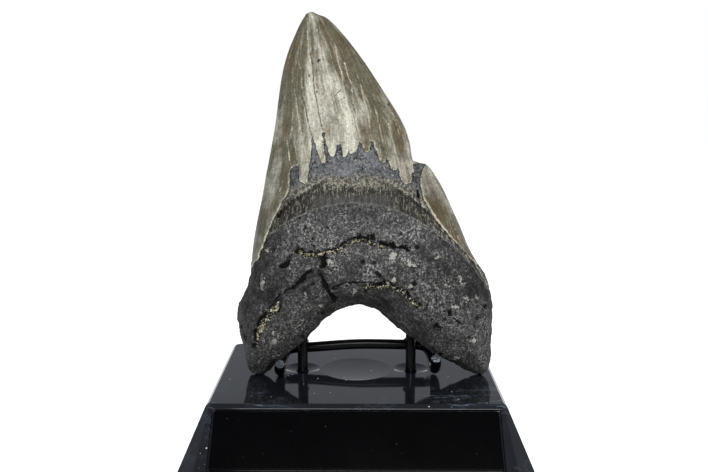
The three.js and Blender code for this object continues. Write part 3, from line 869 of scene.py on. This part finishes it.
def add_bowl(bm, x, y, shape, steps):
    """Spins a bowl into the open top and gives back its outer edge."""
    profile = bowl_profile(shape["radius"], shape["depth"], shape["socket"])
    verts = [bm.verts.new((x + r, y, HEIGHT + z)) for r, z in profile]
    edges = [bm.edges.new(pair) for pair in zip(verts, verts[1:])]
    before = set(bm.faces)
    bmesh.ops.spin(bm, geom=verts + edges, cent=(x, y, 0), axis=(0, 0, 1), angle=math.tau, steps=steps,
                   use_merge=True)
    made = [face for face in bm.faces if face not in before]
    centre = [v for v in {v for f in made for v in f.verts} if math.hypot(v.co.x - x, v.co.y - y) < 1e-4]
    bmesh.ops.remove_doubles(bm, verts=centre, dist=1e-4)
    return [e for e in bm.edges if e.is_boundary and all(
        abs(math.hypot(v.co.x - x, v.co.y - y) - profile[-1][0]) < 1e-3 for v in e.verts)]


def bearing(place):
    """Which way a corner lies from the middle of the plinth."""
    return math.atan2(place.y - top_middle(), place.x)


def make_plinth():
    plinth = settings("fossil_plinth")
    bm = bmesh.new()
    foot = [bm.verts.new(corner) for corner in plinth_ring(plinth, plinth.slope_drop + plinth.skirt)]
    edges = list(bm.faces.new(foot).edges)
    levels = [plinth_ring(plinth, plinth.slope_drop), plinth_ring(plinth, TOP_EDGE),
              plinth_ring(plinth, 0.0, TOP_EDGE)]
    for ring in levels:
        made = bmesh.ops.extrude_edge_only(bm, edges=edges)["geom"]
        corners = [item for item in made if isinstance(item, bmesh.types.BMVert)]
        edges = [item for item in made if isinstance(item, bmesh.types.BMEdge) and item.is_boundary]
        for vert, place in zip(sorted(corners, key=lambda v: bearing(v.co)), sorted(ring, key=bearing)):
            vert.co = place
    bmesh.ops.contextual_create(bm, geom=edges)
    bmesh.ops.recalc_face_normals(bm, faces=bm.faces)

    # Pocket for the nameplate, cut into the sloping face before the edges are rounded.
    slope = on_slope()
    out = slope.to_3x3() @ Vector((0, 0, 1))
    sloping = max(bm.faces, key=lambda f: f.calc_area() * (f.normal.dot(out) > 0.99))
    middle = -(PLATE["below_edge"] + PLATE["height"] / 2)
    half_x = PLATE["width"] / 2 + POCKET_MARGIN
    half_y = PLATE["height"] / 2 + POCKET_MARGIN
    cuts = [((half_x, 0), (1, 0)), ((-half_x, 0), (1, 0)), ((0, middle + half_y), (0, 1)),
            ((0, middle - half_y), (0, 1))]
    patch = [sloping]
    for (x, y), (nx, ny) in cuts:
        geometry = list({item for f in patch for item in (f, *f.edges, *f.verts)})
        bmesh.ops.bisect_plane(bm, geom=geometry, dist=1e-5, plane_co=slope @ Vector((x, y, 0)),
                               plane_no=slope.to_3x3() @ Vector((nx, ny, 0)))
        patch = [f for f in bm.faces if f.normal.dot(out) > 0.99]
    centre = slope @ Vector((0, middle, 0))
    pocket = min(patch, key=lambda f: (f.calc_center_median() - centre).length)
    bmesh.ops.inset_region(bm, faces=[pocket], thickness=0.02, depth=-PLATE["sunk"], use_even_offset=True)

    sharp = [e for e in bm.edges if len(e.link_faces) == 2 and e.calc_face_angle() > math.radians(8)]
    rounded(bm, sharp, EDGE_ROUND)

    # Open top with the dish and the two post dimples let into it.
    top = max((f for f in bm.faces if f.normal.z > 0.999), key=lambda f: f.calc_area())
    rim = list(top.edges)
    bmesh.ops.delete(bm, geom=[top], context="FACES_ONLY")
    post_x = settings("fossil_easel").post_x
    rim += add_bowl(bm, 0.0, top_middle() + DISH["behind"], DISH, 120)
    for side in (-1, 1):
        rim += add_bowl(bm, side * post_x, top_middle() + DIMPLE["behind"], DIMPLE, 72)
    bmesh.ops.triangle_fill(bm, edges=rim, use_beauty=True, use_dissolve=False, normal=(0, 0, 1))
    bmesh.ops.recalc_face_normals(bm, faces=bm.faces)
    piece = piece_from(bm, "plinth_body", plinth_material(plinth), "marbled_gloss_black", "plinth")
    flat_shading(piece)


def plinth_material(plinth):
    m = Recipe("plinth_gloss")
    place = m.place()
    x, y, z = m.parts(place)
    cloudy = m.noise(place, 30.0, 4.0, 0.6, 1.2)
    veins = (m.noise(m.stretched(place, (0.6, 1.4, 1.0)), 22.0, 6.0, 0.62, 1.6) - 0.5).size().fall(0.0, 0.04)
    haze = m.noise(place, 9.0, 5.0, 0.65).rise(0.45, 0.85)
    slanted = m.joined(x * 0.16, y * 1.1 - x.size() * 0.16, 0.0)
    wisps = (m.noise(slanted, 5.0, 4.0, 0.55, 0.5) - 0.5).size().fall(0.0, 0.022)
    on_top = z.rise(HEIGHT - 1.2, HEIGHT - 0.4)
    outer = y.fall(front_edge() + 8.0, front_edge() + 22.0) * x.size().rise(12.0, 28.0) * on_top
    specks = m.cells(place, 4.5).fall(0.03, 0.075) * m.noise(place, 9.0).rise(0.46, 0.52)
    dust = m.cells(place, 2.2).fall(0.02, 0.09) * m.noise(place, 5.0).rise(0.52, 0.66)
    colour = m.blend(veins * cloudy.rise(0.45, 0.62) * 0.22, plinth.gloss, plinth.vein)
    colour = m.blend(haze * cloudy.rise(0.4, 0.7) * 0.18, colour, plinth.vein)
    colour = m.blend(wisps * outer * cloudy.rise(0.42, 0.54) * 0.5, colour, plinth.wisp)
    # Faint turning rings in the dish.
    from_dish = (x ** 2 + (y - (top_middle() + DISH["behind"])) ** 2) ** 0.5
    rings = m.noise(m.joined(from_dish, 0.0, 0.0), 0.9, 2.0).rise(0.45, 0.62)
    colour = m.blend(rings * from_dish.fall(6.0, 12.0) * 0.22, colour, srgb(92, 86, 80))
    colour = m.blend((dust * 0.6 + specks * 0.9).held(), colour, srgb(214, 218, 222))
    scuffs = m.noise(m.stretched(place, (1.0, 0.12, 1.0)), 1.2, 3.0, 0.7)
    rough = 0.06 + haze * 0.05 + (dust + specks) * 0.35 + scuffs.rise(0.6, 0.8) * 0.03
    return m.finish(colour, rough, dust + specks + scuffs * 0.02, reach=0.03, strength=0.3, Coat_Weight=0.3,
                    Coat_Roughness=0.04)


def make_nameplate():
    plinth = settings("fossil_plinth")
    bm = bmesh.new()
    bmesh.ops.create_cube(bm, size=1.0)
    bmesh.ops.scale(bm, vec=(PLATE["width"], PLATE["height"], PLATE["thick"]), verts=bm.verts)
    upright = [e for e in bm.edges if abs((e.verts[0].co - e.verts[1].co).z) > 0.5]
    rounded(bm, upright, PLATE["corner"], 4)
    face_edges = [e for e in bm.edges if e.verts[0].co.z > 0 and e.verts[1].co.z > 0]
    rounded(bm, face_edges, PLATE["edge"])
    middle = -(PLATE["below_edge"] + PLATE["height"] / 2)
    out = PLATE["thick"] / 2 - PLATE["sunk"] + PLATE["gap"]
    bmesh.ops.transform(bm, matrix=on_slope() @ Matrix.Translation((0, middle, out)), verts=bm.verts)
    bmesh.ops.recalc_face_normals(bm, faces=bm.faces)
    piece = piece_from(bm, "nameplate_blank", plate_material(plinth), "plate_black", "nameplate")
    flat_shading(piece)


def plate_material(plinth):
    m = Recipe("nameplate_gloss")
    place = m.place()
    smudge = m.noise(place, 12.0, 4.0, 0.6, 0.6)
    dust = m.cells(place, 1.9).fall(0.02, 0.10) * m.noise(place, 7.0).rise(0.5, 0.68)
    hairlines = m.noise(m.stretched(place, (0.05, 1.0, 1.0)), 0.6, 2.0)
    colour = m.lit(plinth.plate, 0.8 + smudge * 0.5)
    colour = m.blend(dust * 0.5, colour, srgb(120, 122, 126))
    rough = 0.14 + smudge * 0.08 + dust * 0.3 + hairlines * 0.04
    return m.finish(colour, rough, hairlines * 0.2 + dust, reach=0.02, strength=0.25,
                    Specular_IOR_Level=0.03)


# ---- Easel ----------------------------------------------------------------------------------
# A post seen from the side: millimetres behind the middle of the top, and above the top.
POST_SIDE = [(2.9, -3.0), (3.1, 1.0), (4.5, 8.0), (6.6, 16.0), (8.7, 25.0), (11.5, 38.0), (15.5, 58.0)]
HOOP_CORNER = 8.0
HOOP_LEAN = 0.19                   # how far the hoop's round corners lean back per millimetre of height
# The hook bar, from the left hook's end to the right one's: across, behind the middle, above the top.
HOOK_BAR = [
    (-26.0, -11.4, 6.0), (-26.3, -9.4, 3.6), (-26.4, -6.2, 2.3), (-26.4, -1.0, 2.3), (-26.2, 3.0, 3.8),
    (-25.0, 6.6, 5.3), (-22.2, 8.2, 5.8), (-16.0, 8.5, 6.1), (0.0, 8.5, 7.2), (16.0, 8.5, 7.1),
    (22.4, 8.2, 7.0), (25.2, 6.6, 6.3), (26.5, 3.2, 4.5), (26.9, -0.8, 2.7), (27.0, -5.2, 2.7),
    (27.1, -8.4, 4.8), (27.0, -10.4, 7.7),
]
WELDS = [(-19.0, 6.4, 8.9), (18.6, 6.4, 9.2)]
WELD_SIZE = (1.9, 1.7, 1.2)        # half the length, depth and height of a bead
ROD_SIDES = 28


def rod_along(bm, points, diameter, samples):
    """A rod swept along the points: one ring is extruded and laid square to the path at each step."""
    cut = bm.verts.layers.float.new("cut")
    path = at_fraction(curve_through(points), np.linspace(0, 1, samples + 1))
    path = [Vector(point) for point in path]
    ways = [(b - a).normalized() for a, b in zip(path, path[1:])]
    ways = [ways[0], *[(a + b).normalized() for a, b in zip(ways, ways[1:])], ways[-1]]
    ring = bmesh.ops.create_circle(bm, cap_ends=False, radius=diameter / 2, segments=ROD_SIDES)["verts"]
    turn = ways[0].to_track_quat("Z", "Y").to_matrix()
    bmesh.ops.transform(bm, matrix=Matrix.Translation(path[0]) @ turn.to_4x4(), verts=ring)
    first = edges = list({e for v in ring for e in v.link_edges})
    for k in range(1, len(path)):
        made = bmesh.ops.extrude_edge_only(bm, edges=edges)["geom"]
        ring = [item for item in made if isinstance(item, bmesh.types.BMVert)]
        edges = [item for item in made if isinstance(item, bmesh.types.BMEdge) and item.is_boundary]
        bend = ways[k - 1].rotation_difference(ways[k]).to_matrix().to_4x4()
        bmesh.ops.transform(bm, matrix=Matrix.Translation(path[k]) @ bend
                            @ Matrix.Translation(-path[k - 1]), verts=ring)
    for ends, way in ((first, -ways[0]), (edges, ways[-1])):
        cap = bmesh.ops.contextual_create(bm, geom=ends)["faces"][0]
        if cap.normal.dot(way) < 0:
            cap.normal_flip()
        bmesh.ops.inset_region(bm, faces=[cap], thickness=0.12, depth=0.10)
        bmesh.ops.inset_region(bm, faces=[cap], thickness=0.14, depth=0.05)
        ring = list(cap.verts)
        middle = bmesh.ops.poke(bm, faces=[cap], offset=0.03)["verts"]
        for vert in (*ring, *middle):
            vert[cut] = 1.0
    bmesh.ops.recalc_face_normals(bm, faces=bm.faces)


def placed(points):
    return [(x, top_middle() + y, HEIGHT + z) for x, y, z in points]


def make_easel():
    easel = settings("fossil_easel")
    black = rod_material(easel)
    side_line = curve_through(POST_SIDE, 30)
    knots = (len(POST_SIDE) - 1) * 30
    half = [(easel.post_x, *side_line[round(knots * t)]) for t in (0, .1, .22, .36, .5, .65, .8)]
    top_y = POST_SIDE[-1][0]
    for angle in (0, 22.5, 45, 67.5, 90):
        a = math.radians(angle)
        z = easel.hoop_height - HOOP_CORNER * (1 - math.sin(a))
        x = easel.post_x - HOOP_CORNER * (1 - math.cos(a))
        half.append((x, top_y - HOOP_LEAN * (easel.hoop_height - z), z))
    hoop_path = [(-x, y, z) for x, y, z in half] + half[::-1]
    bm = bmesh.new()
    rod_along(bm, placed(hoop_path), easel.rod, 200)
    piece_from(bm, "easel_back_hoop", black, "rod_black", "easel_hoop")
    bm = bmesh.new()
    rod_along(bm, placed(HOOK_BAR), easel.rod, 180)
    for x, y, z in placed(WELDS):
        bead = bmesh.ops.create_icosphere(bm, subdivisions=4, radius=1.0)["verts"]
        bmesh.ops.scale(bm, vec=WELD_SIZE, verts=bead)
        for vert in bead:
            vert.co *= 1 + 0.10 * math.sin(3.1 * vert.co.x + 2.3 * vert.co.y) * math.cos(2.7 * vert.co.z)
        bmesh.ops.translate(bm, vec=(x, y, z), verts=bead)
    piece_from(bm, "easel_hooks", black, "rod_black", "easel_hook_bar")


def rod_material(easel):
    m = Recipe("rod_gloss_black")
    place = m.place()
    cut = m.attribute("cut")
    orange_peel = m.noise(place, 1.6, 2.0)
    worn = m.noise(place, 2.8, 4.0, 0.7).rise(0.66, 0.78)
    dust = m.cells(place, 1.2).fall(0.03, 0.12) * m.noise(place, 3.0).rise(0.5, 0.65)
    colour = m.blend(worn * 0.35, easel.black, srgb(50, 48, 46))
    colour = m.blend(dust * 0.5, colour, srgb(150, 152, 156))
    # The sawn ends are bare, scratched and speckled, with a painted highlight that makes the right hook's end
    # lighter than the left.
    saw = m.noise(m.stretched(place, (0.3, 1.0, 1.0)), 0.5, 3.0, 0.7)
    across = m.parts(place)[0]
    # The scratches are painted lighter towards the right hook's end: a painted highlight.
    scratches_and_highlight = saw.rise(0.48, 0.60) * (0.35 + across.rise(-10.0, 10.0) * 0.65)
    bare = m.blend(scratches_and_highlight, easel.cut_dark, easel.cut_light)
    on_cut = cut.rise(0.3, 0.8)
    colour = m.blend(on_cut, colour, bare)
    rough = (0.2 + worn * 0.2 + dust * 0.3 + orange_peel * 0.04) * (1 - on_cut) + on_cut * 0.5
    return m.finish(colour, rough, orange_peel + dust * 0.4 + on_cut * saw, reach=0.05, strength=0.35,
                    Specular_IOR_Level=0.11)


# ---- Stage ----------------------------------------------------------------------------------
CAMERA_BACK = 270.8                # in front of the plinth's front top edge
CAMERA_UP = 101.0                  # above its top
CAMERA_ASIDE = 1.1
LAMP_AIM = 65.0                    # above the plinth's top
CAMERA_PITCH, CAMERA_TURN = 9.834, 0.382
SKY_TINT = (0.95, 1.0, 1.09)
# The room's brightness by the upward part of a direction, which is 0 for level and below and 1 straight
# up. ABOVE is in parts of the sky's own brightness.
BELOW = [(0.0, 1.0), (0.09, 1.0)]
ABOVE = [(0.16, 1.0), (0.62, 0.75), (0.85, 0.4)]


def area_lamp(name, place, target, width, height, power, mirrored=True):
    lamp = bpy.data.lights.new(name, "AREA")
    lamp.shape, lamp.size, lamp.size_y, lamp.energy = "RECTANGLE", width * MM, height * MM, power
    holder = bpy.data.objects.new(name, lamp)
    holder.location = Vector(place) * MM
    holder.rotation_euler = (Vector(target) - Vector(place)).to_track_quat("-Z", "Y").to_euler()
    holder.visible_glossy = mirrored
    bpy.context.scene.collection.objects.link(holder)


def make_studio():
    studio = settings("fossil_studio")
    scene = bpy.context.scene
    bm = bmesh.new()
    bmesh.ops.create_grid(bm, x_segments=8, y_segments=8, size=4.0)
    mesh = bpy.data.meshes.new("pale_floor")
    bm.to_mesh(mesh)
    bm.free()
    floor = bpy.data.objects.new("pale_floor", mesh)
    scene.collection.objects.link(floor)
    m = Recipe("pale_floor_paint")
    tone = m.noise(m.place(), 400.0, 2.0)
    colour = m.lit(studio.floor, 0.98 + tone * 0.02)
    mesh.materials.append(m.finish(colour, 0.9, Emission_Color=(1.0, 1.0, 1.0), Emission_Strength=0.80))

    world = bpy.data.worlds.new("studio_room")
    world.use_nodes = True
    scene.world = world
    tree = world.node_tree
    where = tree.nodes.new("ShaderNodeTexCoord")
    split = tree.nodes.new("ShaderNodeSeparateXYZ")
    ramp = tree.nodes.new("ShaderNodeValToRGB")
    tree.links.new(where.outputs["Generated"], split.inputs[0])
    tree.links.new(split.outputs["Z"], ramp.inputs[0])
    tree.links.new(ramp.outputs[0], tree.nodes["Background"].inputs["Color"])
    stops = [(position, (bright,) * 3) for position, bright in BELOW]
    stops += [(position, [studio.sky * bright * part for part in SKY_TINT]) for position, bright in ABOVE]
    while len(ramp.color_ramp.elements) < len(stops):
        ramp.color_ramp.elements.new(0.5)
    for element, (position, colour) in zip(ramp.color_ramp.elements, stops):
        element.position = position
        element.color = (*colour, 1.0)

    tooth_middle = (0, top_middle(), HEIGHT + LAMP_AIM)
    area_lamp("key_lamp", (30, -480, 470), tooth_middle, 300, 300, studio.key)
    area_lamp("fill_lamp", (380, -300, 260), tooth_middle, 260, 320, studio.fill)
    area_lamp("back_lamp", (-120, 480, 540), tooth_middle, 520, 280, studio.back, mirrored=False)

    camera = bpy.data.cameras.new("camera")
    camera.lens, camera.sensor_width = studio.lens, 36.0
    camera.clip_start, camera.clip_end = 0.01, 20.0
    holder = bpy.data.objects.new("camera", camera)
    scene.collection.objects.link(holder)
    holder.location = Vector((CAMERA_ASIDE, front_edge() - CAMERA_BACK, HEIGHT + CAMERA_UP)) * MM
    holder.rotation_euler = (math.radians(90 - CAMERA_PITCH), 0.0, math.radians(CAMERA_TURN))
    scene.camera = holder
    scene.view_settings.view_transform = "Standard"


# ---- Add-on ---------------------------------------------------------------------------------
class FOSSIL_OT_tooth(Operator):
    """Builds the tooth with its enamel, neck, root, cracks and stains"""
    bl_idname = "fossil.tooth"
    bl_label = "Tooth"

    def execute(self, context):
        make_tooth()
        return {"FINISHED"}


class FOSSIL_OT_plinth(Operator):
    """Builds the gloss plinth with its dish, post dimples and nameplate pocket"""
    bl_idname = "fossil.plinth"
    bl_label = "Plinth"

    def execute(self, context):
        make_plinth()
        return {"FINISHED"}


class FOSSIL_OT_nameplate(Operator):
    """Builds the bare nameplate"""
    bl_idname = "fossil.nameplate"
    bl_label = "Nameplate"

    def execute(self, context):
        make_nameplate()
        return {"FINISHED"}


class FOSSIL_OT_easel(Operator):
    """Builds the back hoop and the hook bar"""
    bl_idname = "fossil.easel"
    bl_label = "Easel"

    def execute(self, context):
        make_easel()
        return {"FINISHED"}


class FOSSIL_OT_studio(Operator):
    """Sets up the floor, lamps and camera"""
    bl_idname = "fossil.studio"
    bl_label = "Studio"

    def execute(self, context):
        make_studio()
        return {"FINISHED"}


OPERATORS = (FOSSIL_OT_studio, FOSSIL_OT_tooth, FOSSIL_OT_plinth, FOSSIL_OT_nameplate, FOSSIL_OT_easel)
GROUPS = {"fossil_tooth": ToothSettings, "fossil_plinth": PlinthSettings, "fossil_easel": EaselSettings,
          "fossil_studio": StudioSettings}


class FOSSIL_PT_panel(Panel):
    """Lists the pieces of the fossil and its stand"""
    bl_idname = "FOSSIL_PT_panel"
    bl_label = "Fossil Tooth"
    bl_space_type = "VIEW_3D"
    bl_region_type = "UI"
    bl_category = "Fossil Tooth"

    def draw(self, context):
        for operator in OPERATORS:
            self.layout.operator(operator.bl_idname)
        for name, group in GROUPS.items():
            box = self.layout.box()
            for prop in group.__annotations__:
                box.prop(getattr(context.scene, name), prop)


def register():
    for item in (*GROUPS.values(), *OPERATORS, FOSSIL_PT_panel):
        bpy.utils.register_class(item)
    for name, group in GROUPS.items():
        setattr(bpy.types.Scene, name, PointerProperty(type=group))


def unregister():
    for name in GROUPS:
        delattr(bpy.types.Scene, name)
    for item in reversed((*GROUPS.values(), *OPERATORS, FOSSIL_PT_panel)):
        bpy.utils.unregister_class(item)


def main():
    register()
    bpy.ops.fossil.studio()
    bpy.ops.fossil.tooth()
    bpy.ops.fossil.plinth()
    bpy.ops.fossil.nameplate()
    bpy.ops.fossil.easel()


if __name__ == "__main__":
    main()
